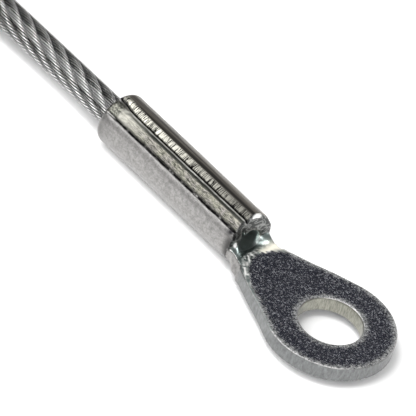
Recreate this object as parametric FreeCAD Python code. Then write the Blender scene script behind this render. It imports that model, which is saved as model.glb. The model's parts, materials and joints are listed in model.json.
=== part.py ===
import FreeCAD, Part
import math
import os

os.makedirs("parts", exist_ok=True)
V = FreeCAD.Vector

# Steel cable assembly: a plastic-coated wire rope with a stamped eye terminal crimped on each end.
# Origin: centre of the near eye's hole, on the eye's bottom face. +X points from the rope to the
# near eye, +Z up. Millimetres.

# --- driving dimensions ---------------------------------------------------------------------------
SHEET = 2.6                 # sheet thickness of the terminal
EYE_RADIUS = 10.6           # rounded end of the tongue
HOLE_RADIUS = 5.2
TONGUE_TAPER = 23.0         # degrees, each side of the tongue towards the neck

BARREL_RADIUS = 4.6         # outside of the crimped barrel
BARREL_AXIS_Z = 3.1         # its centre above the eye's bottom face
BORE_RADIUS = 2.0           # pressed round the rope's strands
BORE_AXIS_Z = 2.9
LOBE_END = -54.0            # degrees from the top: where the left wing's round outside ends
CREASE = -51.5              # the crease the die leaves along the left wing
CREASE_DEPTH = 0.42
COINED_FOOT = -48.5         # the flattened strip's lower side
COINED_FOOT_DEPTH = 0.16
COINED_RIDGE = -30.0        # the strip's middle
COINED_RIDGE_DEPTH = 0.04
SEAM_LEFT = -18.5           # where the left wing's edge turns down into the seam
SEAM_LEFT_DEPTH = 0.10
SEAM_RIGHT = -16.5          # the right wing's sheared edge lies between here and its top
SEAM_RIGHT_DEPTH = 0.42
SHEARED_TOP = -1.0
RIGHT_TIP = (-1.62, 5.75)   # Y and Z of the wings' inner corners over the strands
LEFT_TIP = (-1.96, 5.40)
BORE_MEETS_TIP = -42.0
MOUTH_X = -51.5             # where the rope enters
MOUTH_ROUNDING = 1.0
FRONT_X = -19.6             # where the two wings end, towards the eye
NECK_X = -16.0              # where the tongue is flat again
NECK_STATIONS = 7
NECK_OVERLAP = 0.5          # the formed neck runs this far into the barrel and into the tongue
NECK_INSET = 0.06           # and there stays this far inside their skins
NECK_WAIST = 0.55           # how far the neck's sides draw in between barrel and tongue
NECK_CORNER_DROP = 0.3      # its round underside ends this far below the barrel's axis
NECK_FOOT = 0.24            # and this far above the tongue's bottom face
UNDERSIDE_RISE = 1.6        # the underside is level with the tongue's well before the neck ends
DISH_SHORT = 0.4            # the dish in the neck's top ends this far before the flat tongue
DISH_WIDER = 0.3            # its end is this much wider than the tongue, each side
DISH_LIFT = 0.25            # and its sides this much higher
WING_LEAN = 0.8             # how far the wings' tips stand back from their roots
WING_LEAN_Z = 4.4           # the height where the lean starts
CUT_MARGIN = 0.01           # keeps two cutting faces from lying in one plane
CUT_REACH = 2.0             # how far the cutting shapes run out past the wings' ends

ROPE_DIAMETER = 5.0         # over the clear coat
STRAND_DIAMETER = 1.30      # seven strands make the 4 mm steel core
STRAND_PITCH_RADIUS = 1.32
LAY_LENGTH = 24.5           # one turn of an outer strand
OUTER_STRANDS = 6
STRAND_END_X = FRONT_X - 3.0

FLOOR_Z = BARREL_AXIS_Z - BARREL_RADIUS
ROPE_AXIS_Z = 2.8           # where it enters the mouth
LYING_Z = FLOOR_Z + ROPE_DIAMETER / 2
HUMP_Z = 8.2                # the rope's axis where it passes over itself
CORE_DIAMETER = 4.0         # the steel inside the coat

TIE_WIDTH = 2.5             # nylon strap that holds the loop where it crosses
TIE_THICKNESS = 1.0
TIE_SIDE_GAP = 0.90         # between the rope and the strap, each side
TIE_END_GAP = 0.45
TIE_HEAD = 4.4              # the lock on top, square
TIE_HEAD_DEPTH = 2.8
TIE_HEAD_OUT = 0.2          # the lock's inner face stands this far outside the strap's
TIE_HEAD_ROUNDING = 0.6
TIE_TURN = 157.5            # degrees, half way between the two crossing runs
CROSSING = V(-90.0, 0, 5.35)
CROSSING_HALF = 2.85        # from the crossing's middle to either axis
BEND_SHARE = 0.45           # of the shorter straight at a corner, given up to the bend

# The rope's route, mouth to mouth: straight out, once round on the surface, over itself, and on.
ROUTE = [
    V(MOUTH_X, 0, ROPE_AXIS_Z),
    V(-86, 0, ROPE_AXIS_Z),
    V(-122.6, 0, LYING_Z),
    V(-139, -16.4, LYING_Z),
    V(-139, -39.6, LYING_Z),
    V(-122.6, -56, LYING_Z),
    V(-97.7, -56, LYING_Z),
    V(-79, -37.3, 3.0),
    V(-79, -10.7, HUMP_Z),
    V(-97.7, 7.5, HUMP_Z),
    V(-118, 10, 5.4),
    V(-134, 8, ROPE_AXIS_Z),
    V(-146.5, 4.4, ROPE_AXIS_Z),
]


def mix(a, b, part):
    return a + (b - a) * part


def ease(part):
    return part * part * (3 - 2 * part)


def polar(radius, degrees, centre_z):
    """A point of the barrel's section: degrees are counted from straight up towards +Y."""
    turn = math.radians(degrees)
    return V(0, radius * math.sin(turn), centre_z + radius * math.cos(turn))


def arc(first, middle, last):
    return Part.Arc(first, middle, last).toShape()


def chain(points):
    return [Part.LineSegment(a, b).toShape() for a, b in zip(points, points[1:])]


# --- the terminal's barrel ------------------------------------------------------------------------
def outer(degrees, depth=0.0):
    return polar(BARREL_RADIUS - depth, degrees, BARREL_AXIS_Z)


def bore(degrees):
    return polar(BORE_RADIUS, degrees, BORE_AXIS_Z)


def barrel_section():
    """The rolled sheet seen from the eye: a C whose two sheared edges meet along the top."""
    lobe_top = outer(LOBE_END)
    crease = outer(CREASE, CREASE_DEPTH)
    coined_low = outer(COINED_FOOT, COINED_FOOT_DEPTH)
    coined_ridge = outer(COINED_RIDGE, COINED_RIDGE_DEPTH)
    seam_left = outer(SEAM_LEFT, SEAM_LEFT_DEPTH)
    sheared_top = outer(SHEARED_TOP)
    seam_right = outer(SEAM_RIGHT, SEAM_RIGHT_DEPTH)
    right_tip = V(0, *RIGHT_TIP)
    left_inside = V(0, *LEFT_TIP)
    edges = [arc(lobe_top, outer(-90), outer(-135))]
    edges += [arc(outer(-135), outer(180), outer(135))]
    edges += [arc(outer(135), outer(67), sheared_top)]
    edges += chain([sheared_top, seam_right, right_tip, bore(BORE_MEETS_TIP)])
    edges += [arc(bore(BORE_MEETS_TIP), bore(90), bore(180))]
    edges += [arc(bore(180), bore(-135), bore(-90))]
    edges += chain([bore(-90), left_inside, seam_left, coined_ridge, coined_low, crease, lobe_top])
    return Part.Wire(edges)


def mouth_form():
    """A plug round the barrel's axis whose rear end is rounded, as the die leaves the mouth."""
    inner = BARREL_RADIUS - MOUTH_ROUNDING
    corner = MOUTH_ROUNDING * (1 - math.sqrt(0.5))
    far_x = FRONT_X + CUT_REACH
    profile = chain([V(far_x, 0, 0), V(MOUTH_X, 0, 0), V(MOUTH_X, 0, inner)])
    rounding_middle = V(MOUTH_X + corner, 0, BARREL_RADIUS - corner)
    rounding_end = V(MOUTH_X + MOUTH_ROUNDING, 0, BARREL_RADIUS)
    profile += [arc(V(MOUTH_X, 0, inner), rounding_middle, rounding_end)]
    profile += chain([rounding_end, V(far_x, 0, BARREL_RADIUS), V(far_x, 0, 0)])
    form = Part.Face(Part.Wire(profile)).revolve(V(0, 0, 0), V(1, 0, 0), 360)
    form.translate(V(0, 0, BARREL_AXIS_Z))
    return form


def barrel():
    face = Part.Face(barrel_section())
    face.translate(V(MOUTH_X, 0, 0))
    return face.extrude(V(FRONT_X - MOUTH_X, 0, 0)).common(mouth_form())


# --- the neck and the tongue ------------------------------------------------------------------------
def tongue_tangent():
    taper = math.radians(TONGUE_TAPER)
    return -EYE_RADIUS * math.sin(taper), EYE_RADIUS * math.cos(taper)


def tongue_half(x):
    tangent_x, tangent_y = tongue_tangent()
    return tangent_y - (tangent_x - x) * math.tan(math.radians(TONGUE_TAPER))


def tongue():
    tangent_x, tangent_y = tongue_tangent()
    end_y = tongue_half(NECK_X)
    edges = [arc(V(tangent_x, tangent_y, 0), V(EYE_RADIUS, 0, 0), V(tangent_x, -tangent_y, 0))]
    edges += chain([V(tangent_x, -tangent_y, 0), V(NECK_X, -end_y, 0)])
    edges += chain([V(NECK_X, -end_y, 0), V(NECK_X, end_y, 0), V(tangent_x, tangent_y, 0)])
    return Part.Face(Part.Wire(edges)).extrude(V(0, 0, SHEET))


def neck_hull():
    """From the barrel's round lower half to the flat tongue, solid between underside and top."""
    sections = []
    for station in range(NECK_STATIONS):
        part = station / (NECK_STATIONS - 1)
        x = mix(FRONT_X - NECK_OVERLAP, NECK_X + NECK_OVERLAP, part)
        waist = NECK_WAIST * 4 * part * (1 - part)
        half = mix(BARREL_RADIUS, tongue_half(NECK_X), part) - waist - NECK_INSET
        low = mix(FLOOR_Z, 0.0, ease(min(1.0, UNDERSIDE_RISE * part))) + NECK_INSET
        corner = mix(BARREL_AXIS_Z - NECK_CORNER_DROP, NECK_FOOT, ease(part))
        top = mix(BARREL_AXIS_Z, SHEET - NECK_INSET, ease(part))
        edges = [arc(V(x, -half, corner), V(x, 0, low), V(x, half, corner))]
        edges += chain([V(x, half, corner), V(x, half, top)])
        edges += chain([V(x, half, top), V(x, -half, top), V(x, -half, corner)])
        sections += [Part.Wire(edges)]
    return Part.makeLoft(sections, True, False)


def neck_channel():
    """The hollow in the neck's top: the bore runs out into the flat tongue as a wide dish."""
    close_z = BARREL_AXIS_Z + 2 * BARREL_RADIUS
    sections = []
    for station in range(NECK_STATIONS):
        part = station / (NECK_STATIONS - 1)
        x = mix(FRONT_X - NECK_OVERLAP - CUT_MARGIN, NECK_X - DISH_SHORT, part)
        half = mix(BORE_RADIUS, tongue_half(NECK_X) + DISH_WIDER, ease(part)) + NECK_INSET
        low = mix(BORE_AXIS_Z - BORE_RADIUS, SHEET, ease(part)) - NECK_INSET
        side = mix(BORE_AXIS_Z, SHEET + DISH_LIFT, part)
        edges = [arc(V(x, -half, side), V(x, 0, low), V(x, half, side))]
        edges += chain([V(x, half, side), V(x, half, close_z)])
        edges += chain([V(x, half, close_z), V(x, -half, close_z), V(x, -half, side)])
        sections += [Part.Wire(edges)]
    return Part.makeLoft(sections, True, False)


def wing_front_cut():
    """The wings' front ends lean back towards their tips, as the blank's outline does."""
    reach = 3 * BARREL_RADIUS
    start = V(FRONT_X + CUT_MARGIN, -reach, WING_LEAN_Z)
    back = V(FRONT_X - WING_LEAN, -reach, BARREL_AXIS_Z + BARREL_RADIUS)
    rise = back - start
    top = back + rise
    ahead_x = FRONT_X + CUT_REACH
    edges = chain([start, top, V(ahead_x, -reach, top.z), V(ahead_x, -reach, WING_LEAN_Z), start])
    return Part.Face(Part.Wire(edges)).extrude(V(0, 2 * reach, 0))


def terminal():
    """One stamping: sheet rolled into the barrel, dished through the neck, flat at the eye."""
    neck = neck_hull().cut(neck_channel())
    body = barrel().cut(wing_front_cut())
    hole = Part.makeCylinder(HOLE_RADIUS, 2 * SHEET, V(0, 0, -SHEET / 2))
    return body.fuse([neck, tongue().cut(hole)]).removeSplitter()


# --- the strands inside a barrel --------------------------------------------------------------------
def king_strand():
    """The rope's middle strand, straight, from the mouth to just behind the wings' front end."""
    start = V(MOUTH_X, 0, BORE_AXIS_Z)
    return Part.makeCylinder(STRAND_DIAMETER / 2, STRAND_END_X - MOUTH_X, start, V(1, 0, 0))


def outer_strand(number):
    """One of the six strands laid round the middle one, right-handed."""
    length = STRAND_END_X - MOUTH_X
    helix = Part.makeLongHelix(LAY_LENGTH, length, STRAND_PITCH_RADIUS)
    rise = math.degrees(math.atan2(LAY_LENGTH, 2 * math.pi * STRAND_PITCH_RADIUS))
    along = V(0, math.cos(math.radians(rise)), math.sin(math.radians(rise)))
    circle = Part.Circle(V(STRAND_PITCH_RADIUS, 0, 0), along, STRAND_DIAMETER / 2)
    strand = Part.Wire(helix.Edges).makePipeShell([Part.Wire(circle.toShape())], True, True)
    strand.rotate(V(0, 0, 0), V(0, 0, 1), number * 360 / OUTER_STRANDS)
    strand.rotate(V(0, 0, 0), V(0, 1, 0), 90)
    strand.translate(V(MOUTH_X, 0, BORE_AXIS_Z))
    return strand


# --- the free rope ----------------------------------------------------------------------------------
def route_path(points):
    """Straight runs joined by tangent arcs, each as large as its two runs allow."""
    edges = []
    radii = []
    last = points[0]
    for before, corner, after in zip(points, points[1:], points[2:]):
        back = before - corner
        ahead = after - corner
        shorter = min(back.Length, ahead.Length)
        half_turn = (math.pi - back.getAngle(ahead)) / 2
        reach = BEND_SHARE * shorter
        radius = reach / math.tan(half_turn)
        radii += [round(radius, 1)]
        back.normalize()
        ahead.normalize()
        inward = back + ahead
        inward.normalize()
        start = corner + back * reach
        end = corner + ahead * reach
        middle = corner + inward * (radius / math.cos(half_turn) - radius)
        edges += [Part.LineSegment(last, start).toShape(), arc(start, middle, end)]
        last = end
    edges += [Part.LineSegment(last, points[-1]).toShape()]
    return Part.Wire(edges), radii


def rope_tube(path, diameter):
    heading = ROUTE[1] - ROUTE[0]
    circle = Part.Circle(ROUTE[0], heading, diameter / 2)
    return path.makePipeShell([Part.Wire(circle.toShape())], True, False)


def oval(half_width, half_height):
    """A closed race-track outline in the YZ plane, its ends round."""
    straight = half_height - half_width
    left_low = V(0, -half_width, -straight)
    left_high = V(0, -half_width, straight)
    right_low = V(0, half_width, -straight)
    right_high = V(0, half_width, straight)
    edges = chain([left_low, left_high]) + [arc(left_high, V(0, 0, half_height), right_high)]
    edges += chain([right_high, right_low]) + [arc(right_low, V(0, 0, -half_height), left_low)]
    return Part.Wire(edges)


def loop_tie():
    inside_width = ROPE_DIAMETER / 2 + TIE_SIDE_GAP
    inside_height = CROSSING_HALF + ROPE_DIAMETER / 2 + TIE_END_GAP
    outline = Part.Face(oval(inside_width + TIE_THICKNESS, inside_height + TIE_THICKNESS))
    inside = Part.Face(oval(inside_width, inside_height))
    strap = outline.cut(inside).extrude(V(TIE_WIDTH, 0, 0))
    head_corner = V((TIE_WIDTH - TIE_HEAD) / 2, -TIE_HEAD / 2, inside_height + TIE_HEAD_OUT)
    head = Part.makeBox(TIE_HEAD, TIE_HEAD, TIE_HEAD_DEPTH, head_corner)
    head = head.makeFillet(TIE_HEAD_ROUNDING, head.Edges)
    tie = strap.fuse(head).removeSplitter()
    tie.translate(V(-TIE_WIDTH / 2, 0, 0))
    tie.rotate(V(0, 0, 0), V(0, 0, 1), TIE_TURN - 180)
    tie.translate(CROSSING)
    return tie


# --- the whole assembly -----------------------------------------------------------------------------
def to_far_end(shape):
    """A part of the near end, turned about Z and moved to the rope's other end."""
    moved = shape.copy()
    heading = ROUTE[-1] - ROUTE[-2]
    moved.translate(V(-MOUTH_X, 0, 0))
    moved.rotate(V(0, 0, 0), V(0, 0, 1), math.degrees(math.atan2(heading.y, heading.x)))
    moved.translate(V(ROUTE[-1].x, ROUTE[-1].y, 0))
    return moved


def export(name, shape):
    solids = shape.Solids
    print(name, "valid" if shape.isValid() else "INVALID", len(solids), "solid(s)", round(shape.Volume, 1))
    solids[0].exportStep("parts/" + name + ".step")


def main():
    eye_terminal = terminal()
    export("near_eye_terminal", eye_terminal)
    export("far_eye_terminal", to_far_end(eye_terminal))
    export("near_king_strand", king_strand())
    export("far_king_strand", to_far_end(king_strand()))
    for number in range(OUTER_STRANDS):
        strand = outer_strand(number)
        export("near_outer_strand_" + str(number + 1), strand)
        export("far_outer_strand_" + str(number + 1), to_far_end(strand))

    path, radii = route_path(ROUTE)
    print("route length", round(path.Length, 1), "radii", radii)
    core = rope_tube(path, CORE_DIAMETER)
    coated = rope_tube(path, ROPE_DIAMETER)
    expected = math.pi * ROPE_DIAMETER ** 2 / 4 * path.Length
    print("tube volume", round(coated.Volume, 1), "section times length", round(expected, 1))
    export("rope_core", core)
    export("rope_coat", coated.cut(core))
    export("loop_tie", loop_tie())


main()
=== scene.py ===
import json
import math
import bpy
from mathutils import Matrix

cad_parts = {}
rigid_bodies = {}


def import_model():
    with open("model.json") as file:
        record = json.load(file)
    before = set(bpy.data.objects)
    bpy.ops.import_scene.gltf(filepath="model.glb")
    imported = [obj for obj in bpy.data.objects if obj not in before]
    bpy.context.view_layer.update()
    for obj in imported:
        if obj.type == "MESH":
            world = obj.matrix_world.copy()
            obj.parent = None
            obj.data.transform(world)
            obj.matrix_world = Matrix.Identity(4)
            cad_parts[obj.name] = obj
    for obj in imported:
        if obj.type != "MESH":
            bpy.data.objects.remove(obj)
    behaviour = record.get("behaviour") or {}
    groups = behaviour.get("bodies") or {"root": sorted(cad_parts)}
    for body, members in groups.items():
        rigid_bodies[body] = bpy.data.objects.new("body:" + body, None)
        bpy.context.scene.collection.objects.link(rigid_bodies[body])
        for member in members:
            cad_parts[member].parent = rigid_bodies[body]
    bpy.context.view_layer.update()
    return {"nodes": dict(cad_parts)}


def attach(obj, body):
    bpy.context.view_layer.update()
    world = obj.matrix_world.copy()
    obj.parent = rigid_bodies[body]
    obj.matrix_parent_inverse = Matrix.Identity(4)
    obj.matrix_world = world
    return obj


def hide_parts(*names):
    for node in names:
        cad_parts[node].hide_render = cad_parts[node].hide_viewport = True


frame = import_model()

from types import SimpleNamespace

import bpy
import numpy as np
from mathutils import Matrix, Vector, noise

MM = 0.001


# --- camera ---------------------------------------------------------------------------------------
AZIMUTH = math.radians(36.74)
ELEVATION = math.radians(39.55)
ROLL = math.radians(18.09)
DISTANCE = 1.0
AIM_RIGHT = -18.20 * MM      # where the camera looks, counted along its own right and up
AIM_UP = 19.22 * MM
LENS = 564.2
SENSOR = 36


def add_camera():
    """A long lens from high on the right, tipped so that the rope runs to the upper left corner."""
    back = Vector((
        math.sin(AZIMUTH) * math.cos(ELEVATION),
        -math.cos(AZIMUTH) * math.cos(ELEVATION),
        math.sin(ELEVATION),
    ))
    level = Vector((math.cos(AZIMUTH), math.sin(AZIMUTH), 0))
    upright = back.cross(level)
    right = math.cos(ROLL) * level + math.sin(ROLL) * upright
    up = math.cos(ROLL) * upright - math.sin(ROLL) * level
    data = bpy.data.cameras.new("camera")
    data.lens = LENS
    data.sensor_width = SENSOR
    data.clip_start = 0.05
    data.clip_end = 50
    camera = bpy.data.objects.new("camera", data)
    bpy.context.scene.collection.objects.link(camera)
    place = DISTANCE * back + AIM_RIGHT * right + AIM_UP * up
    turn = Matrix((right, up, back)).transposed().to_4x4()
    camera.matrix_world = Matrix.Translation(place) @ turn
    bpy.context.scene.camera = camera


# --- the rope's line ------------------------------------------------------------------------------
ROPE_DIAMETER = 5.0
ROUTE = [
    (-51.5, 0.0, 2.8),
    (-86.0, 0.0, 2.8),
    (-122.6, 0.0, 1.0),
    (-139.0, -16.4, 1.0),
    (-139.0, -39.6, 1.0),
    (-122.6, -56.0, 1.0),
    (-97.7, -56.0, 1.0),
    (-79.0, -37.3, 3.0),
    (-79.0, -10.7, 8.2),
    (-97.7, 7.5, 8.2),
    (-118.0, 10.0, 5.4),
    (-134.0, 8.0, 2.8),
    (-146.5, 4.4, 2.8),
]
STEP = 0.5


def rope_spline():
    """The rope's centreline as a curve with no thickness."""
    data = bpy.data.curves.new("rope line", "CURVE")
    data.dimensions = "3D"
    data.resolution_u = 40
    spline = data.splines.new("NURBS")
    spline.points.add(len(ROUTE) - 1)
    for point, place in zip(spline.points, ROUTE):
        point.co = (place[0] * MM, place[1] * MM, place[2] * MM, 1)
    spline.order_u = 3
    spline.use_endpoint_u = True
    curve = bpy.data.objects.new("rope line", data)
    bpy.context.scene.collection.objects.link(curve)
    return curve


def even_points(curve, step):
    """The curve's own points in mm, spaced evenly along it."""
    mesh = bpy.data.meshes.new_from_object(curve)
    found = np.array([vertex.co for vertex in mesh.vertices]) / MM
    bpy.data.meshes.remove(mesh)
    gaps = np.linalg.norm(np.diff(found, axis=0), axis=1)
    along = np.concatenate([[0], np.cumsum(gaps)])
    places = np.linspace(0, along[-1], int(along[-1] / step) + 1)
    return np.column_stack([np.interp(places, along, found[:, axis]) for axis in range(3)])


def straight_points(start, end, step):
    """Evenly spaced points on a straight line."""
    count = int(abs(end[0] - start[0]) / step) + 1
    return np.linspace(start, end, count)


def frames_along(points):
    """Tangent and two level directions at each point, carried along without twist."""
    tangents = np.gradient(points, axis=0)
    tangents /= np.linalg.norm(tangents, axis=1)[:, None]
    side = np.cross(tangents[0], (0, 0, 1))
    side /= np.linalg.norm(side)
    sides = []
    for tangent in tangents:
        side = side - tangent * np.dot(side, tangent)
        side = side / np.linalg.norm(side)
        sides.append(side)
    sides = np.array(sides)
    return tangents, sides, np.cross(tangents, sides)


def distance_along(points):
    """How far along the line each point is, as a column."""
    gaps = np.linalg.norm(np.diff(points, axis=0), axis=1)
    return np.concatenate([[0], np.cumsum(gaps)])[:, None]


def tube(centre, first, second, radius, sides, offset=0):
    """Vertices and faces of a closed round bar along the centre points."""
    turns = np.linspace(0, 2 * math.pi, sides, endpoint=False)
    rings = [centre + radius * (math.cos(t) * first + math.sin(t) * second) for t in turns]
    verts = np.stack(rings, axis=1).reshape(-1, 3)
    count = len(centre)
    row, column = np.meshgrid(np.arange(count - 1), np.arange(sides), indexing="ij")
    after = (column + 1) % sides
    faces = np.stack([
        row * sides + column, row * sides + after,
        (row + 1) * sides + after, (row + 1) * sides + column,
    ], axis=-1).reshape(-1, 4) + offset
    caps = [[offset + i for i in reversed(range(sides))]]
    caps.append([offset + (count - 1) * sides + i for i in range(sides)])
    return verts, faces.tolist() + caps


def mesh_object(name, verts, faces):
    mesh = bpy.data.meshes.new(name)
    mesh.from_pydata((np.asarray(verts) * MM).tolist(), [], faces)
    mesh.validate()
    mesh.shade_smooth()
    made = bpy.data.objects.new(name, mesh)
    bpy.context.scene.collection.objects.link(made)
    return made


# --- strands and coat -----------------------------------------------------------------------------
LAY_LENGTH = 24.5
STRAND_PITCH_RADIUS = 1.33
STRAND_RADIUS = 0.67
WIRE_RADIUS = 0.165          # thicker than the real 0.13, so that single wires show
WIRE_PITCH_RADIUS = STRAND_RADIUS - WIRE_RADIUS
WIRES_SHOWN = 10
WIRE_SIDES = 8
HEART_SIDES = 10
HEART_GAP = 0.03             # the heart's skin lies this far under the wires' middles
HIGHLIGHT_TURN = math.radians(45)    # where round each strand its wires carry the painted highlight
HIGHLIGHT_FADE = (0.90, 0.98)
FIRST_SEED = 7
OUTER_STRANDS = 6
COAT_SIDES = 56


def strand(name, points, number):
    """One strand: ten round wires laid the other way round a solid heart. Number 0 is the king."""
    tangents, first, second = frames_along(points)
    along = distance_along(points)
    turn = 2 * math.pi * along / LAY_LENGTH + number * math.pi / 3
    if number == 0:
        centre = points
        out = first
        across = second
    else:
        out = np.cos(turn) * first + np.sin(turn) * second
        around = -np.sin(turn) * first + np.cos(turn) * second
        centre = points + STRAND_PITCH_RADIUS * out
        slope = 2 * math.pi * STRAND_PITCH_RADIUS / LAY_LENGTH
        across = around - slope * tangents
        across /= np.linalg.norm(across, axis=1)[:, None]
    wire_lay = LAY_LENGTH * WIRE_PITCH_RADIUS / (STRAND_PITCH_RADIUS + WIRE_PITCH_RADIUS)
    verts, faces = tube(centre, out, across, WIRE_PITCH_RADIUS - HEART_GAP, HEART_SIDES)
    verts = [verts]
    # painted shade: the heart is painted black, and each wire darker the deeper its skin lies in the
    # strand
    painted_depths = [np.ones(len(verts[0]))]
    tones = [np.zeros(len(verts[0]))]
    crest_highlights = [np.zeros(len(verts[0]))]
    chance = np.random.default_rng(number + FIRST_SEED)
    for wire in range(WIRES_SHOWN):
        spin = -2 * math.pi * along / wire_lay + wire * 2 * math.pi / WIRES_SHOWN
        lift = np.cos(spin) * out + np.sin(spin) * across
        start = sum(len(part) for part in verts)
        part, more = tube(
            centre + WIRE_PITCH_RADIUS * lift, out, across, WIRE_RADIUS, WIRE_SIDES, start)
        verts.append(part)
        faces += more
        reach = np.linalg.norm(part.reshape(-1, WIRE_SIDES, 3) - centre[:, None], axis=2)
        painted_depths.append(((STRAND_RADIUS - reach) / (2 * WIRE_RADIUS)).ravel())
        tones.append(np.full(len(part), chance.uniform(0, 1)))
        # painted highlight: a white line along the wires where they pass the turn above
        crest_highlights.append(np.repeat(soft(*HIGHLIGHT_FADE, np.cos(spin - HIGHLIGHT_TURN)), WIRE_SIDES))
    made = mesh_object(name, np.concatenate(verts), faces)
    add_reading(made.data, "groove_shade", np.concatenate(painted_depths))
    add_reading(made.data, "tone", np.concatenate(tones))
    add_reading(made.data, "crest_highlight", np.concatenate(crest_highlights))
    return made


def coat(points):
    """The clear coat: a solid round bar that the strands lie inside."""
    _, first, second = frames_along(points)
    verts, faces = tube(points, first, second, ROPE_DIAMETER / 2, COAT_SIDES)
    return mesh_object("clear_coat_tube", verts, faces)


# --- small tools ----------------------------------------------------------------------------------
def clear_selection():
    for thing in bpy.context.scene.objects:
        thing.select_set(False)


def take(thing):
    clear_selection()
    thing.select_set(True)
    bpy.context.view_layer.objects.active = thing


def apply_modifier(thing, name, kind, **settings):
    take(thing)
    modifier = thing.modifiers.new(name, kind)
    for key, value in settings.items():
        setattr(modifier, key, value)
    bpy.ops.object.modifier_apply(modifier=name)


def soft(low, high, value):
    """0 below low, 1 above high, smooth between."""
    part = np.clip((value - low) / (high - low), 0, 1)
    return part * part * (3 - 2 * part)


def line(value, width):
    """1 on the line value = 0, falling to nothing over the width."""
    return np.exp(-(value / width) ** 2)


def grain(points, sizes, seed):
    """Random relief from -1 to 1 with bumps of the given sizes in mm."""
    moved = points / np.array(sizes) + seed
    return np.array([noise.noise(place) for place in moved])


# --- terminals ------------------------------------------------------------------------------------
SHEET = 2.6
EYE_RADIUS = 10.6
HOLE_RADIUS = 5.2
TAPER = math.radians(23)
BARREL_RADIUS = 4.6
BARREL_AXIS_Z = 3.1
BORE_AXIS_Z = 2.9
MOUTH_X = -51.5
FRONT_X = -19.6
STRAND_END_X = FRONT_X - 3.0
FAR_MOUTH = (ROUTE[-1][0], ROUTE[-1][1], 0.0)
FAR_TURN = math.atan2(ROUTE[-1][1] - ROUTE[-2][1], ROUTE[-1][0] - ROUTE[-2][0])
MM_PER_DEGREE = BARREL_RADIUS * math.pi / 180
TINY = 1e-6

REMESH = 0.178               # fine enough to hold the press marks
WELD_GAP = 0.0005
HOLLOW_X = (FRONT_X - 0.4, -15.6)    # the box in which the neck's dish is eased
HOLLOW_HALF = 3.9
HOLLOW_Z = (0.5, 3.4)
HOLLOW_ROUNDS = 60

# Angles are in degrees round the barrel, from straight up towards +Y, and the rest is in mm. A pair is
# a fade: its mark is absent at the first value and full at the second.
SKIN_FACING = (0.1, 0.5)
SKIN_RADIUS = 3.2
MOUTH_EDGE = (-51.45, -50.9)

CREASE = -52.0               # the line the die leaves along the left wing
CREASE_WANDER = 1.3
CREASE_WIDTH = 0.11
CREASE_DEPTH = 0.42
CREASE_RUN = (-51.0, -50.2)
CREASE_SHADOW_RUN = (-50.2, -48.6)
CREASE_SHADOW = 0.08
CREASE_SHADOW_BROKEN = 0.1

SEAM = -17.5                 # where the left wing's edge meets the right wing
SEAM_FLARE = 7
SEAM_FLARE_RUN = (-46.5, -50.5)
SEAM_WANDER = 0.6
SEAM_WIDTH = 0.17
SEAM_DEPTH = 0.6
SEAM_RUN = (-51.2, -50.4)
SEAM_SHADOW = 0.2

STRIP_LOW = (0.05, 0.2)      # the coined strip lies between crease and seam
STRIP_HIGH = (-0.1, -0.25)
STRIP_RUN = (-49.6, -48.8)
STRIP_RIDGE = (-31.5, -29.0)
SHEARED_LOW = (0.05, 0.2)    # the sheared edge lies beyond the seam
SHEARED_FLARE = 5
SHEARED_FLARE_RUN = (-44, -50)
SHEARED_FADE = 2
CHATTER_RUN = (-34, -47)     # the press chattered more towards the mouth
CHATTER_DEPTH = 0.03
CHATTER_MORE = 0.06
FLAKE_DEPTH = 0.22
STRIPE_DEPTH = 0.045
CHIP_DEPTH = 0.05
UNEVENNESS = 0.02
RIGHT_WING_END = (80, 42)

FORE_RUN = (-21.4, -19.8)    # the left wing gets painted shade towards its front end and under the crease, and darkens at the scuffed mouth
FORE_ROUND = (-58, -75)      # the scuffed mouth
UNDER_CREASE = -55.5
UNDER_CREASE_WIDTH = 2.5
SCUFF_RUN = (-48.0, -50.5)
SCUFF_ROUND = (-40, -60)
POCKET = (-20.6, -57)        # the painted shadow in the pocket at the crease's front end: X and angle
POCKET_LENGTH = 0.75
POCKET_WIDTH = 6.25
LIP_ROUND = (-54, -50)
LIP_RUN = (-48.6, -49.2)
LIP_RADIUS = 3.9

WEDGE = (-20.2, 12)          # the painted highlight on the flat of the right wing's front edge: X and angle
WEDGE_ROUND = (-1, 26)
BALL = (-19.4, -3.1, 3.45)   # the painted highlight on the knob at the left wing's foot
WING_EDGE_DEPTH = 0.3
WING_EDGE_RUN = (-20.5, -19.7)
WING_EDGE_LEFT = (-4, 4)
WING_EDGE_RIGHT = (70, 40)
WING_EDGE_RADIUS = 4.0

HEEL_X = -17.6               # the sheet bulges sideways where the neck is pinched
HEEL_LENGTH = 1.7
HEEL_OUT = 0.75
HEEL_DOWN = 0.5
HEEL_SIDE = (1.5, 3.5)
HEEL_LOW = (2.6, 1.0)
UNDERSIDE_LIFT = 0.6
UNDERSIDE_START = (-22.6, -19.9)
UNDERSIDE_END = (-15.0, -17.5)
UNDERSIDE_LOW = (2.0, -1.2)
NECK_SWAY = 0.35
NECK_START = (-19.6, -16.5)
NECK_END = (-7.0, -12.5)
FACE_X = -16.95              # the eye's granular face ends in a curve round this point
FACE_Y = 0.3
FACE_CURVE = 0.11
FACE_CURVE_NEAR = 0.135
FACE_RAGGED = 0.45
RUB_CENTRE_X = -21.0         # the rubbing strokes spread out from here
RUB_FACING = (0.5, 0.9)
RUB_BACK = (-2.2, -1.0)      # from the granular face's end, backwards and forwards
RUB_FRONT = (0.4, 0.0)
RUB_LOWEST = 1.5
RUB_SIDE = (-6.6, -4.8)
RUB_BROKEN = (-0.3, 0.15)
METAL_LOST = 0.75            # the painted reflection and highlights, and the rubbing, give back light from all sides, more like paint
THROAT_DEPTH = 3.2
BORE_SEEN = 2.4
PLATE_RUN = (-16.5, -14.5)
WORN_WIDTH = (1.2, 0.1)
WORN_RUN = (-16.6, -15.4)


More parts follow.
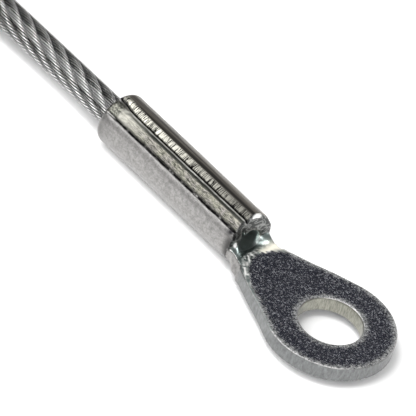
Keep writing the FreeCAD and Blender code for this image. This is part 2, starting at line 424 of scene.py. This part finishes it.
def stamped_blank():
    """The terminal's own mesh, evenly divided so that the press marks can be worked into it."""
    source = frame["nodes"]["near_eye_terminal"]
    guide = bpy.data.objects.new("guide", source.data.copy())
    bpy.context.scene.collection.objects.link(guide)
    guide.data.transform(Matrix.Scale(1 / MM, 4))
    apply_modifier(guide, "weld", "WELD", merge_threshold=WELD_GAP)
    piece = bpy.data.objects.new("near_terminal", guide.data.copy())
    bpy.context.scene.collection.objects.link(piece)
    apply_modifier(piece, "even", "REMESH", mode="VOXEL", voxel_size=REMESH, use_smooth_shade=True)
    apply_modifier(piece, "true", "SHRINKWRAP", target=guide, wrap_method="NEAREST_SURFACEPOINT")
    apply_modifier(piece, "ease", "SMOOTH", factor=0.5, iterations=3)
    bpy.data.objects.remove(guide)
    x, y, z = read_points(piece.data, "co", "vertices").T
    hollow = (x > HOLLOW_X[0]) & (x < HOLLOW_X[1]) & (np.abs(y) < HOLLOW_HALF)
    hollow &= (z > HOLLOW_Z[0]) & (z < HOLLOW_Z[1])
    group = piece.vertex_groups.new(name="hollow")
    group.add(np.flatnonzero(hollow).tolist(), 1.0, "REPLACE")
    apply_modifier(piece, "dish", "SMOOTH", factor=0.5, iterations=HOLLOW_ROUNDS, vertex_group="hollow")
    piece.vertex_groups.clear()
    return piece


def survey(places, normals):
    """Where each point is: along the barrel, round it, and from its axis, its crease and its seam."""
    at = SimpleNamespace(places=places, ahead=normals[:, 0], up=normals[:, 2])
    at.x, at.y, at.z = places.T
    rise = at.z - BARREL_AXIS_Z
    at.radius = np.hypot(at.y, rise) + TINY
    at.angle = np.degrees(np.arctan2(at.y, rise))
    at.radial = np.column_stack([0 * at.x, at.y / at.radius, rise / at.radius])
    at.outward = np.sum(normals * at.radial, axis=1)
    at.skin = soft(*SKIN_FACING, at.outward) * (at.radius > SKIN_RADIUS) * (at.x < FRONT_X - 0.05)
    at.unrolled = np.column_stack([at.x, at.angle * MM_PER_DEGREE, at.radius])
    run = np.column_stack([at.x, 0 * at.x, 0 * at.x])
    crease_at = CREASE + CREASE_WANDER * grain(run, sizes=(1.6, 1, 1), seed=3.3)
    at.from_crease = (at.angle - crease_at) * MM_PER_DEGREE
    at.ragged = 0.6 + 1.1 * np.abs(grain(run, sizes=(0.6, 1, 1), seed=8.1))
    flare = SEAM_FLARE * soft(*SEAM_FLARE_RUN, at.x)
    seam_at = SEAM + flare + SEAM_WANDER * grain(at.unrolled, sizes=(1.2, 99, 99), seed=5.7)
    at.from_seam = (at.angle - seam_at) * MM_PER_DEGREE
    at.face_end = FACE_X + np.where(at.y < FACE_Y, FACE_CURVE_NEAR, FACE_CURVE) * (at.y - FACE_Y) ** 2
    at.face_end = at.face_end + FACE_RAGGED * grain(places, sizes=(0.45, 0.45, 9), seed=2.2)
    return at


def barrel_marks(at):
    """What the die left on the barrel: coined strip, sheared edge and scuffs, with painted shadow in the
    creases and the pocket, painted shade at the wing's front and beside the crease, a painted dark
    reflection on the right wing and painted highlights on the strip's rims.
    """
    strip = soft(*STRIP_LOW, at.from_crease) * soft(*STRIP_HIGH, at.from_seam) * at.skin
    strip = strip * soft(*STRIP_RUN, at.x + 0.4 * grain(at.unrolled, sizes=(0.5, 0.5, 9), seed=4.9))
    sheared_top = SHEARED_FLARE * soft(*SHEARED_FLARE_RUN, at.x)
    sheared = soft(*SHEARED_LOW, at.from_seam) * at.skin
    sheared = sheared * soft(sheared_top, sheared_top - SHEARED_FADE, at.angle)
    # painted dark reflection on the right wing's outer skin, over its real drawn lines
    right_wing_dark_reflection = soft(sheared_top - SHEARED_FADE, sheared_top, at.angle) * at.skin
    right_wing_dark_reflection = right_wing_dark_reflection * soft(*RIGHT_WING_END, at.angle)

    # painted shade at the left wing's front end and under the crease, and darkening at the scuffed mouth
    fore = soft(*FORE_RUN, at.x) * soft(*FORE_ROUND, at.angle)
    fore = np.maximum(fore, 0.7 * line(at.angle - UNDER_CREASE, UNDER_CREASE_WIDTH))
    scuffed_x = at.x + 0.8 * grain(at.places, sizes=(1.2, 1.2, 1.2), seed=2.6)
    fore = np.maximum(fore, 0.35 * soft(*SCUFF_RUN, scuffed_x) * soft(*SCUFF_ROUND, at.angle))
    pocket_shadow = line(at.x - POCKET[0], POCKET_LENGTH) * line(at.angle - POCKET[1], POCKET_WIDTH)

    broken = soft(-0.35, 0.1, grain(at.unrolled, sizes=(0.7, 9, 9), seed=12.4))
    shadow = line(at.from_crease, CREASE_SHADOW + CREASE_SHADOW_BROKEN * broken)
    shadow = np.maximum(shadow * soft(*CREASE_SHADOW_RUN, at.x), line(at.from_seam, SEAM_SHADOW))
    lip = soft(*LIP_ROUND, at.angle) * soft(SEAM + 2, SEAM, at.angle)
    lip = lip * soft(*LIP_RUN, at.x) * (at.radius > LIP_RADIUS)
    # painted highlight along the strip's rims, beside the seam and at its front end
    rim = np.maximum(line(at.from_seam + 0.35, 0.1), line(at.x - FRONT_X + 0.25, 0.13))
    # the toe is painted shade on the strip beside the crease
    return {
        "strip": strip, "sheared": sheared, "right_wing_dark_reflection": right_wing_dark_reflection,
        "fore": fore * at.skin, "pocket_shadow": pocket_shadow * at.skin, "shadow": shadow * at.skin,
        "lip": lip, "rim": rim * strip, "toe_shade": 0.6 * line(at.from_crease - 0.3, 0.3) * strip,
        "band": soft(*STRIP_RIDGE, at.angle),
    }


def neck_marks(at):
    """The dark throat between the wings with painted light in the bore and a painted cream reflection,
    their end faces, the rubbing in front of them painted bright as a highlight, and painted highlights
    and edge shade.
    """
    from_face = at.x - at.face_end
    bearing = np.arctan2(at.y - FACE_Y, at.x - RUB_CENTRE_X)
    reach = np.hypot(at.x - RUB_CENTRE_X, at.y - FACE_Y)
    strokes = grain(np.column_stack([bearing * 6, reach, 0 * at.x]), sizes=(0.28, 1.6, 1), seed=9.3)
    # the rubbing strokes are real, and painted bright as a highlight
    rubbing_and_highlight = soft(*RUB_FACING, at.up) * soft(*RUB_BACK, from_face) * soft(*RUB_FRONT, from_face)
    rubbing_and_highlight = rubbing_and_highlight * (at.z > RUB_LOWEST) * (at.x > FRONT_X) * soft(*RUB_SIDE, at.y)
    rubbing_and_highlight = rubbing_and_highlight * soft(*RUB_BROKEN, grain(at.places, sizes=(0.5, 0.4, 0.5), seed=7.2) + 0.5 * strokes)

    hidden = (at.x > FRONT_X - THROAT_DEPTH) * (at.ahead < 0.8)
    # painted light in the bore's depths
    painted_depths = hidden * (at.x < FRONT_X + 0.3) * (at.radius < BORE_SEEN)
    throat = hidden * (at.x < at.face_end) * (at.outward < 0.3)
    throat = throat * np.maximum((at.radius < BORE_SEEN), soft(-0.2, 0.4, at.up) * (at.z < 4.2))
    # painted reflection: a cream patch in the throat
    cream_reflection = throat * line(at.x + 17.3 - 0.1 * at.y, 1.0) * soft(0.2, 1.4, at.y + 0.7 * strokes)

    ends = soft(0.4, 0.7, at.ahead) * (at.x < FRONT_X + 0.6) * (at.x > FRONT_X - 2.5) * (at.z > 2.6)
    swirl = 0.75 * line(np.abs(grain(at.places, sizes=(0.9, 1.0, 0.55), seed=6.1)) - 0.05, 0.07)
    # painted highlights on the right wing's front flat and on the knob at the left wing's foot
    wedge_highlight = soft(0.45, 0.15, np.abs(at.x - WEDGE[0]) + 0.016 * np.abs(at.angle - WEDGE[1]))
    wedge_highlight = wedge_highlight * (at.radius > LIP_RADIUS) * (at.angle > WEDGE_ROUND[0]) * (at.angle < WEDGE_ROUND[1])
    ball_highlight = soft(0.55, 0.3, np.linalg.norm(at.places - np.array(BALL), axis=1))
    wedge_highlight = np.maximum(wedge_highlight, ball_highlight)
    # painted shade along the plate's rounded edge
    edge_shade = line(at.up - 0.55, 0.3) * soft(-3.0, -3.5, at.y)
    edge_shade = edge_shade * soft(-19.4, -18.8, at.x) * soft(-12.0, -14.0, at.x)
    return {
        "strokes": strokes, "rubbing_and_highlight": rubbing_and_highlight, "painted_depths": painted_depths, "throat": throat, "cream_reflection": cream_reflection,
        "ends": ends, "swirl": swirl, "wedge_highlight": wedge_highlight, "edge_shade": edge_shade,
        "metal": 1 - METAL_LOST * np.maximum(np.maximum(cream_reflection, wedge_highlight), 0.85 * rubbing_and_highlight),
    }


def tongue_marks(at):
    """The eye's granular faces, their worn edges, and the cut walls outside and in the hole."""
    top = soft(0.75, 0.97, at.up) * soft(-0.25, 0.35, at.x - at.face_end) * (at.z > SHEET - 0.3)
    under = soft(0.8, 0.97, -at.up) * soft(-19.0, -17.0, at.x)
    from_hole = np.hypot(at.x, at.y)
    to_side = EYE_RADIUS - (np.abs(at.y) * math.cos(TAPER) - at.x * math.sin(TAPER))
    to_edge = np.where(at.x < -EYE_RADIUS * math.sin(TAPER), to_side, EYE_RADIUS - from_hole)
    to_edge = np.minimum(to_edge, from_hole - HOLE_RADIUS)
    worn = soft(*WORN_WIDTH, to_edge + 0.6 * grain(at.places, sizes=(0.6, 0.6, 9), seed=3.9))
    worn = worn * np.abs(at.up) * soft(*WORN_RUN, at.x)
    upright = soft(0.75, 0.4, np.abs(at.up))
    in_hole = from_hole < HOLE_RADIUS + 0.6
    return {
        "face": np.maximum(top, under), "worn": worn,
        "wall": upright * soft(*PLATE_RUN, at.x) * ~in_hole, "bore": upright * in_hole,
    }


def pressing(at, marks):
    """How far each point moves: pushed in by the barrel's marks, and shifted as the neck is formed."""
    crease = line(at.from_crease, CREASE_WIDTH * at.ragged) * at.skin * soft(*CREASE_RUN, at.x)
    seam = line(at.from_seam, SEAM_WIDTH) * at.skin * soft(*SEAM_RUN, at.x)
    stripes = grain(at.unrolled, sizes=(4.0, 0.22, 9), seed=1.7)
    chatter = grain(at.unrolled, sizes=(0.24, 1.6, 9), seed=2.9)
    chips = grain(at.unrolled, sizes=(0.8, 0.45, 9), seed=4.4)
    flakes = np.clip(grain(at.unrolled, sizes=(0.5, 0.5, 9), seed=6.6), 0, 1)
    push = CREASE_DEPTH * crease + SEAM_DEPTH * seam
    push -= FLAKE_DEPTH * flakes * line(at.from_crease - 0.28, 0.16) * marks["strip"]
    push += marks["strip"] * (STRIPE_DEPTH * stripes + CHIP_DEPTH * chips)
    push += marks["sheared"] * chatter * (CHATTER_DEPTH + CHATTER_MORE * soft(*CHATTER_RUN, at.x))
    push += UNEVENNESS * at.skin * grain(at.places, sizes=(3, 2, 2), seed=7.9)
    push *= soft(*MOUTH_EDGE, at.x)
    wing_edge = soft(*WING_EDGE_LEFT, at.angle) * soft(*WING_EDGE_RIGHT, at.angle)
    wing_edge = soft(*WING_EDGE_RUN, at.x) * wing_edge
    push += WING_EDGE_DEPTH * wing_edge * (at.radius > WING_EDGE_RADIUS)

    heel = line(at.x - HEEL_X, HEEL_LENGTH) * soft(*HEEL_SIDE, np.abs(at.y)) * soft(*HEEL_LOW, at.z)
    lift = UNDERSIDE_LIFT * soft(*UNDERSIDE_START, at.x) * soft(*UNDERSIDE_END, at.x)
    lift = lift * soft(*UNDERSIDE_LOW, at.z)
    sway = -NECK_SWAY * soft(*NECK_START, at.x) * soft(*NECK_END, at.x)
    shift = np.column_stack([0 * at.x, sway + HEEL_OUT * heel * np.sign(at.y), lift - HEEL_DOWN * heel])
    return shift - push[:, None] * at.radial


def patterned_places(at):
    """Places for the drawn patterns: the barrel's skin unrolled flat, the eye's cut wall likewise."""
    round_eye = np.column_stack([np.arctan2(at.y, at.x) * 9.0, at.z, 0 * at.x])
    return np.where((at.x > -14.5)[:, None], round_eye, at.unrolled)


def add_reading(mesh, name, values):
    reading = mesh.attributes.new(name, "FLOAT", "POINT")
    reading.data.foreach_set("value", np.asarray(values, dtype=np.float32))


def add_place(mesh, name, values):
    reading = mesh.attributes.new(name, "FLOAT_VECTOR", "POINT")
    reading.data.foreach_set("vector", np.asarray(values, dtype=np.float32).ravel())


def read_points(mesh, field, source):
    found = np.empty(len(mesh.vertices) * 3, dtype=np.float32)
    getattr(mesh, source).foreach_get(field, found)
    return found.reshape(-1, 3).astype(float)


def make_terminals():
    """The near terminal with its marks, and its twin turned and moved to the rope's other end."""
    near = stamped_blank()
    mesh = near.data
    places = read_points(mesh, "co", "vertices")
    at = survey(places, read_points(mesh, "vector", "vertex_normals"))
    marks = {**barrel_marks(at), **neck_marks(at), **tongue_marks(at)}
    add_place(mesh, "form", places)
    add_place(mesh, "unrolled", patterned_places(at))
    for name, values in marks.items():
        add_reading(mesh, name, values)
    moved = (places + pressing(at, marks)) * MM
    mesh.vertices.foreach_set("co", moved.astype(np.float32).ravel())
    mesh.update()
    mesh.shade_smooth()
    far = bpy.data.objects.new("far_terminal", mesh.copy())
    bpy.context.scene.collection.objects.link(far)
    far.data.transform(far_place())
    return near, far


def far_place():
    """Moves a near piece to the far end: the mouth stays on the rope's end, the eye points away."""
    mouth = Matrix.Translation(Vector(FAR_MOUTH) * MM)
    return mouth @ Matrix.Rotation(FAR_TURN, 4, "Z") @ Matrix.Translation((-MOUTH_X * MM, 0, 0))


# --- the loop's tie -------------------------------------------------------------------------------
TIE_CENTRE = (-90.0, 0.0, 5.35)
TIE_TURN = math.radians(157.5)       # half way between the two crossing runs
TIE_HALF_WIDTH = 3.75
TIE_HALF_HEIGHT = 6.0
TIE_SQUARENESS = (0.72, 0.85)        # 1 is an oval, less is squarer
TIE_WIDTH = 2.5
TIE_THICKNESS = 1.0
TIE_EDGE = 0.2
HEAD_SIZE = (4.4, 2.8, 3.9)
HEAD_LIFT = 0.6
HEAD_EDGE = 0.4
TAIL_SIZE = (3.0, TIE_THICKNESS, TIE_WIDTH)
TAIL_SHIFT = (-3.0, 0.3)


def tie_strap():
    """The closed band, drawn upright as a circle and squared off round the two ropes."""
    clear_selection()
    bpy.ops.mesh.primitive_circle_add(vertices=64, radius=1, fill_type="NOTHING")
    strap = bpy.context.object
    strap.name = "nylon_loop_tie"
    bpy.ops.object.mode_set(mode="EDIT")
    bpy.ops.mesh.select_all(action="SELECT")
    bpy.ops.transform.resize(value=(TIE_HALF_WIDTH * MM, TIE_HALF_HEIGHT * MM, 1))
    bpy.ops.mesh.extrude_region_move(TRANSFORM_OT_translate={"value": (0, 0, TIE_WIDTH * MM)})
    bpy.ops.mesh.select_all(action="SELECT")
    bpy.ops.transform.translate(value=(0, 0, -TIE_WIDTH / 2 * MM))
    bpy.ops.mesh.normals_make_consistent(inside=False)
    bpy.ops.object.mode_set(mode="OBJECT")
    for vertex in strap.data.vertices:
        across = vertex.co.x / (TIE_HALF_WIDTH * MM)
        upward = vertex.co.y / (TIE_HALF_HEIGHT * MM)
        squared = abs(across) ** TIE_SQUARENESS[0], abs(upward) ** TIE_SQUARENESS[1]
        vertex.co.x = math.copysign(squared[0], across) * TIE_HALF_WIDTH * MM
        vertex.co.y = math.copysign(squared[1], upward) * TIE_HALF_HEIGHT * MM
    apply_modifier(strap, "thick", "SOLIDIFY", thickness=TIE_THICKNESS * MM, offset=0)
    apply_modifier(strap, "edges", "BEVEL", width=TIE_EDGE * MM, segments=2)
    return strap


def tie_block(size, place, edge, segments):
    clear_selection()
    bpy.ops.mesh.primitive_cube_add(size=1, location=(place[0] * MM, place[1] * MM, 0))
    block = bpy.context.object
    block.scale = [side * MM for side in size]
    bpy.ops.object.transform_apply(location=True, rotation=True, scale=True)
    apply_modifier(block, "edges", "BEVEL", width=edge * MM, segments=segments)
    return block


def make_tie():
    """A nylon strap pulled round both ropes, with its square head on top and a cut tail."""
    strap = tie_strap()
    head_y = TIE_HALF_HEIGHT + HEAD_LIFT
    head = tie_block(HEAD_SIZE, (0, head_y), HEAD_EDGE, segments=3)
    tail = tie_block(TAIL_SIZE, (TAIL_SHIFT[0], head_y + TAIL_SHIFT[1]), TIE_EDGE, segments=2)
    clear_selection()
    for part in (head, tail, strap):
        part.select_set(True)
    bpy.context.view_layer.objects.active = strap
    bpy.ops.object.join()
    upright = Matrix.Rotation(math.radians(90), 4, "X")
    turn = Matrix.Rotation(TIE_TURN - math.pi / 2, 4, "Z")
    strap.data.transform(Matrix.Translation(Vector(TIE_CENTRE) * MM) @ turn @ upright)
    strap.location = (0, 0, 0)
    strap.data.shade_smooth()
    return strap


# --- finishes -------------------------------------------------------------------------------------
ZINC_ROUGHNESS = 0.3
ROUGHER = (("face", 0.15), ("strip", 0.12), ("sheared", 0.15), ("rubbing_and_highlight", 0.2))
PIT_DEPTH = 0.2
RIPPLE_DEPTH = 0.06
WIRE_ROUGHNESS = 0.32

# How large the patches of each pattern are, in mm: along the piece, round it, and out from its axis.
MOTTLE = (1 / 1.9, 1 / 1.9, 1 / 1.9)
GRIT = (1 / 3.6, 1 / 3.6, 1 / 3.6)      # real grit is too fine to show, so it is drawn coarser
RIPPLES = (1 / 9.0, 1 / 9.0, 1 / 9.0)
DRAWN_SCRATCHES = (1 / 1.1, 1 / 5.5, 5.0)
HUE_PATCHES = (1 / 0.7, 1 / 1.05, 1 / 0.14)
SHEAR_CUTS = (1 / 5.6, 2.5, 5.0)
DIE_LINES = (1 / 0.03, 1 / 1.4, 5.0)
BLANKED_EDGE = (1 / 2.6, 1 / 0.7, 5.0)
BLOOM = 1 / 0.9


def linear(code):
    """A six-digit colour code as the linear colour that the shader wants."""
    parts = [int(code[i:i + 2], 16) / 255 for i in (1, 3, 5)]
    parts = [p / 12.92 if p <= 0.04045 else ((p + 0.055) / 1.055) ** 2.4 for p in parts]
    return (*parts, 1)


def new_finish(name):
    material = bpy.data.materials.new(name)
    material.use_nodes = True
    return material, material.node_tree, material.node_tree.nodes["Principled BSDF"]


def add(tree, kind, inputs=None, **settings):
    """Adds one node; inputs maps a socket to a value, a colour code or another node's output."""
    made = tree.nodes.new(kind)
    for key, value in settings.items():
        setattr(made, key, value)
    for key, value in (inputs or {}).items():
        if isinstance(value, bpy.types.NodeSocket):
            tree.links.new(value, made.inputs[key])
        else:
            made.inputs[key].default_value = linear(value) if isinstance(value, str) else value
    return made


def lay(tree, mask, under, over):
    """Lays one colour over another where the piece's own mask is 1."""
    where = add(tree, "ShaderNodeAttribute", attribute_name=mask).outputs["Fac"]
    laid = add(tree, "ShaderNodeMix", {"Factor": where, 6: under, 7: over}, data_type="RGBA")
    return laid.outputs[2]


def tone(tree, pattern, low, high, first, second, share=(0.0, 1.0)):
    """Goes from the first colour to the second as the pattern goes from low to high."""
    amount = add(tree, "ShaderNodeMapRange", {
        "Value": pattern, "From Min": low, "From Max": high, "To Min": share[0], "To Max": share[1]})
    mixed = {"Factor": amount.outputs[0], 6: first, 7: second}
    return add(tree, "ShaderNodeMix", mixed, data_type="RGBA").outputs[2]


def speckle(tree, vector, sizes, detail, roughness):
    """Noise whose patches have the given sizes in mm along the vector's three ways."""
    scale = tuple(1 / size for size in sizes)
    moved = add(tree, "ShaderNodeMapping", {"Vector": vector, "Scale": scale})
    made = add(tree, "ShaderNodeTexNoise", {
        "Vector": moved.outputs[0], "Scale": 1.0, "Detail": detail, "Roughness": roughness})
    return made.outputs["Fac"]


def zinc_finish():
    """Bright zinc on pressed steel: satin on the formed skin; a painted dark reflection with painted
    glints on the eye's faces, and painted highlights and shade laid over the rest.
    """
    material, tree, shader = new_finish("zinc_plated_steel")
    form = add(tree, "ShaderNodeAttribute", attribute_name="form").outputs["Vector"]
    flat = add(tree, "ShaderNodeAttribute", attribute_name="unrolled").outputs["Vector"]
    strokes = add(tree, "ShaderNodeAttribute", attribute_name="strokes").outputs["Fac"]
    shadow = add(tree, "ShaderNodeAttribute", attribute_name="shadow").outputs["Fac"]
    metal = add(tree, "ShaderNodeAttribute", attribute_name="metal").outputs["Fac"]
    on_face = add(tree, "ShaderNodeAttribute", attribute_name="face").outputs["Fac"]
    along = add(tree, "ShaderNodeSeparateXYZ", {0: form}).outputs[0]

    mottle = speckle(tree, form, MOTTLE, detail=6.0, roughness=0.8)
    grit = speckle(tree, form, GRIT, detail=5.0, roughness=0.9)
    ripples = speckle(tree, form, RIPPLES, detail=2.0, roughness=0.6)
    drawn = speckle(tree, flat, DRAWN_SCRATCHES, detail=5.0, roughness=0.8)
    hue = speckle(tree, flat, HUE_PATCHES, detail=2.0, roughness=0.5)
    cuts = speckle(tree, flat, SHEAR_CUTS, detail=3.0, roughness=0.7)
    die_lines = speckle(tree, flat, DIE_LINES, detail=2.0, roughness=0.5)
    blanked = speckle(tree, flat, BLANKED_EDGE, detail=5.0, roughness=0.75)

    # the formed skin and the blanked walls
    colour = tone(tree, mottle, 0.3, 0.7, "#6f6e6d", "#aeacaa")
    colour = lay(tree, "wall", colour, tone(tree, blanked, 0.35, 0.65, "#646565", "#868888"))
    colour = lay(tree, "bore", colour, tone(tree, blanked, 0.35, 0.65, "#75756f", "#b0afa3"))

    # the coined strip, with painted light towards the mouth
    warm = tone(tree, hue, 0.4, 0.6, "#827e7b", "#86847a")
    strip = tone(tree, drawn, 0.42, 0.6, "#34352f", warm)
    strip = lay(tree, "band", strip, "#2d2e2b")
    strip = tone(tree, along, -49.0, -42.0, strip, "#b4b3aa", share=(0.45, 0.0))
    colour = lay(tree, "strip", colour, strip)

    # the sheared edge with its dark cuts, in painted light at the mouth and painted shade towards the
    # eye, and the right wing's drawn lines under a painted dark reflection
    pale = tone(tree, along, -50.0, -24.0, "#23221f", "#c4c2b8", share=(1.0, 0.2))
    colour = lay(tree, "sheared", colour, tone(tree, cuts, 0.45, 0.52, "#111110", pale))
    colour = lay(tree, "right_wing_dark_reflection", colour, tone(tree, die_lines, 0.4, 0.6, "#413f3b", "#857f76"))
    colour = lay(tree, "lip", colour, tone(tree, grit, 0.44, 0.56, "#2b2b28", "#76766e"))
    # painted shade beside the crease
    colour = lay(tree, "toe_shade", colour, "#2c2d2a")

    # the wings' ends, the throat between them with painted light in the bore's depths, and the rubbing
    # strokes in front of it, painted bright as a highlight
    colour = lay(tree, "ends", colour, lay(tree, "swirl", "#4f504f", "#acadab"))
    colour = lay(tree, "throat", colour, "#8a9593")
    colour = lay(tree, "painted_depths", colour, "#dce4e2")
    colour = lay(tree, "rubbing_and_highlight", colour, tone(tree, strokes, -0.2, 0.25, "#8f908d", "#fbfbf7"))

    # the eye's granular faces: a painted dark reflection with painted glints, worn bright along their
    # edges
    patch = tone(tree, mottle, 0.35, 0.65, "#181a24", "#363843")
    face = tone(tree, grit, 0.55, 0.6, patch, "#c8c9cf")
    face = lay(tree, "worn", face, tone(tree, grit, 0.44, 0.54, "#24262e", "#cfd0cf"))
    colour = lay(tree, "face", colour, face)

    # painted highlights on the rims and flats, painted reflection, painted shade on the plate's edge, at
    # the wing's front and in the pocket, with scuffing at the mouth, then painted shadow in the creases
    for mask, paint in (
            ("cream_reflection", "#f1ecdc"), ("wedge_highlight", "#fdfdfb"), ("edge_shade", "#2e2e2d"),
            ("rim", "#d8d8d2"), ("fore", "#4c4b4a"), ("pocket_shadow", "#17171a")):
        colour = lay(tree, mask, colour, paint)
    colour = tone(tree, shadow, 0.2, 0.75, colour, "#0b0b0c")
    tree.links.new(colour, shader.inputs["Base Color"])
    tree.links.new(metal, shader.inputs["Metallic"])

    rough = ZINC_ROUGHNESS
    for mask, rougher in ROUGHER:
        where = add(tree, "ShaderNodeAttribute", attribute_name=mask).outputs["Fac"]
        rougher_there = {0: where, 1: rougher, 2: rough}
        rough = add(tree, "ShaderNodeMath", rougher_there, operation="MULTIPLY_ADD").outputs[0]
    tree.links.new(rough, shader.inputs["Roughness"])

    depth = add(tree, "ShaderNodeMapRange", {"Value": on_face, "To Min": 0.1, "To Max": 1.0})
    pits = add(tree, "ShaderNodeMath", {0: grit, 1: depth.outputs[0]}, operation="MULTIPLY")
    bump = add(tree, "ShaderNodeBump", {
        "Height": pits.outputs[0], "Strength": 0.5, "Distance": PIT_DEPTH * MM})
    ripple = add(tree, "ShaderNodeBump", {
        "Height": ripples, "Strength": 0.2, "Distance": RIPPLE_DEPTH * MM, "Normal": bump.outputs[0]})
    tree.links.new(ripple.outputs[0], shader.inputs["Normal"])
    return material


def wire_finish():
    """Galvanised wire: bright drawn steel with a grey bloom, a painted white highlight along each strand,
    and painted shade, black, between the wires.
    """
    material, tree, shader = new_finish("galvanised_wire")
    place = add(tree, "ShaderNodeTexCoord").outputs["Object"]
    bloom_scale = 1 / (BLOOM * MM)
    bloom = add(tree, "ShaderNodeTexNoise", {"Vector": place, "Scale": bloom_scale, "Detail": 3.0})
    clouds = bloom.outputs["Fac"]
    bright = tone(tree, clouds, 0.35, 0.65, "#a9a9a7", "#d0d0ce")
    dull = tone(tree, clouds, 0.35, 0.65, "#7c7b7a", "#989795")
    # painted shade between the wires, over a painted white highlight on each strand's crest
    groove_shade = add(tree, "ShaderNodeAttribute", attribute_name="groove_shade").outputs["Fac"]
    colour = lay(tree, "crest_highlight", lay(tree, "tone", dull, bright), "#ffffff")
    colour = tone(tree, groove_shade, 0.04, 0.2, colour, "#0d0d0e")
    tree.links.new(colour, shader.inputs["Base Color"])
    shader.inputs["Metallic"].default_value = 1.0
    shader.inputs["Roughness"].default_value = WIRE_ROUGHNESS
    return material


def coat_finish():
    """Clear flexible plastic, extruded: glossy, so that the strands show and look thicker."""
    material, _, shader = new_finish("clear_coat")
    shader.inputs["Base Color"].default_value = linear("#fbfbfa")
    shader.inputs["Roughness"].default_value = 0.0
    shader.inputs["IOR"].default_value = 1.5
    shader.inputs["Transmission Weight"].default_value = 1.0
    return material


def nylon_finish():
    """Natural nylon, moulded: milky, satin, with light going a little way in."""
    material, _, shader = new_finish("nylon_tie")
    shader.inputs["Base Color"].default_value = linear("#dcdad2")
    shader.inputs["Roughness"].default_value = 0.4
    shader.inputs["Subsurface Weight"].default_value = 0.2
    shader.inputs["Subsurface Scale"].default_value = 1.0 * MM
    return material


def floor_finish():
    """Matt white board, which takes a soft shadow and no reflection."""
    material, _, shader = new_finish("pale floor")
    shader.inputs["Base Color"].default_value = linear("#f7f7f7")
    shader.inputs["Roughness"].default_value = 0.9
    shader.inputs["Specular IOR Level"].default_value = 0.1
    return material


# --- studio ---------------------------------------------------------------------------------------
FLOOR_Z = -1.5
FLOOR_SIZE = 4.0
LIGHTS_AIM = (-0.03, 0, 0)
SURROUND_LIGHT = 0.42
SURROUND_SEEN = 0.95


def add_light(name, place, size, power):
    data = bpy.data.lights.new(name, "AREA")
    data.shape = "DISK"
    data.size = size
    data.energy = power
    light = bpy.data.objects.new(name, data)
    bpy.context.scene.collection.objects.link(light)
    light.location = place
    aim_line = Vector(place) - Vector(LIGHTS_AIM)
    light.rotation_euler = aim_line.to_track_quat("Z", "Y").to_euler()


def add_floor():
    bpy.ops.mesh.primitive_plane_add(size=FLOOR_SIZE, location=(0, 0, FLOOR_Z * MM))
    floor = bpy.context.object
    floor.name = "floor"
    floor.data.transform(floor.matrix_world)
    floor.matrix_world = Matrix.Identity(4)
    floor.data.materials.append(floor_finish())


def add_surround():
    """An even white surround, brighter to look at than it is as a lamp."""
    world = bpy.data.worlds.new("surround")
    bpy.context.scene.world = world
    world.use_nodes = True
    tree = world.node_tree
    background = tree.nodes["Background"]
    seen = add(tree, "ShaderNodeLightPath").outputs["Is Camera Ray"]
    strength = add(tree, "ShaderNodeMapRange", {
        "Value": seen, "To Min": SURROUND_LIGHT, "To Max": SURROUND_SEEN})
    tree.links.new(strength.outputs[0], background.inputs["Strength"])
    background.inputs["Color"].default_value = (1, 1, 1, 1)


def add_studio():
    add_floor()
    add_light("key", place=(-0.5, -0.9, 1.2), size=2.0, power=34)
    add_light("fill", place=(0.9, -0.5, 0.6), size=0.7, power=6)
    add_light("overhead", place=(-0.12, -0.45, 1.3), size=0.4, power=5)
    add_light("rim", place=(0.15, 1.2, 0.35), size=0.3, power=3)
    add_surround()
    bpy.context.scene.view_settings.view_transform = "Standard"


def place_piece(piece, material=None, node=None):
    """Rides the piece on the only body, gives it its finish, and hides the node it stands for."""
    if material:
        piece.data.materials.clear()
        piece.data.materials.append(material)
    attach(piece, "root")
    if node:
        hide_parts(node)


def strand_names(number, where):
    return f"{where}_outer_strand_{number}" if number else f"{where}_king_strand"


def lay_free_strands(points, wire):
    strands = []
    for number in range(OUTER_STRANDS + 1):
        name = f"rope_strand_{number}" if number else "rope_king_strand"
        piece = strand(name, points, number)
        place_piece(piece, wire, None if number else "rope_core")
        strands.append(piece)
    return strands


def lay_crimped_strands(wire):
    """The strands inside both barrels; gives back the far ones, which lie at the rope's far end."""
    bore_line = straight_points((MOUTH_X, 0, BORE_AXIS_Z), (STRAND_END_X, 0, BORE_AXIS_Z), STEP)
    far_strands = []
    for number in range(OUTER_STRANDS + 1):
        near_node = strand_names(number, "near")
        far_node = strand_names(number, "far")
        near = strand(near_node + "_wires", bore_line, number)
        place_piece(near, wire, near_node)
        far = bpy.data.objects.new(far_node + "_wires", near.data.copy())
        bpy.context.scene.collection.objects.link(far)
        far.data.transform(far_place())
        place_piece(far, wire, far_node)
        far_strands.append(far)
    return far_strands


add_camera()
line_curve = rope_spline()
rope_points = even_points(line_curve, STEP)
bpy.data.objects.remove(line_curve)

wire = wire_finish()
rope_strands = lay_free_strands(rope_points, wire)
far_strands = lay_crimped_strands(wire)

near_terminal, far_terminal = make_terminals()
zinc = zinc_finish()
place_piece(near_terminal, zinc, "near_eye_terminal")
place_piece(far_terminal, zinc, "far_eye_terminal")

tie = make_tie()
place_piece(tie, nylon_finish(), "loop_tie")

clear = coat(rope_points)
place_piece(clear, coat_finish(), "rope_coat")

add_studio()
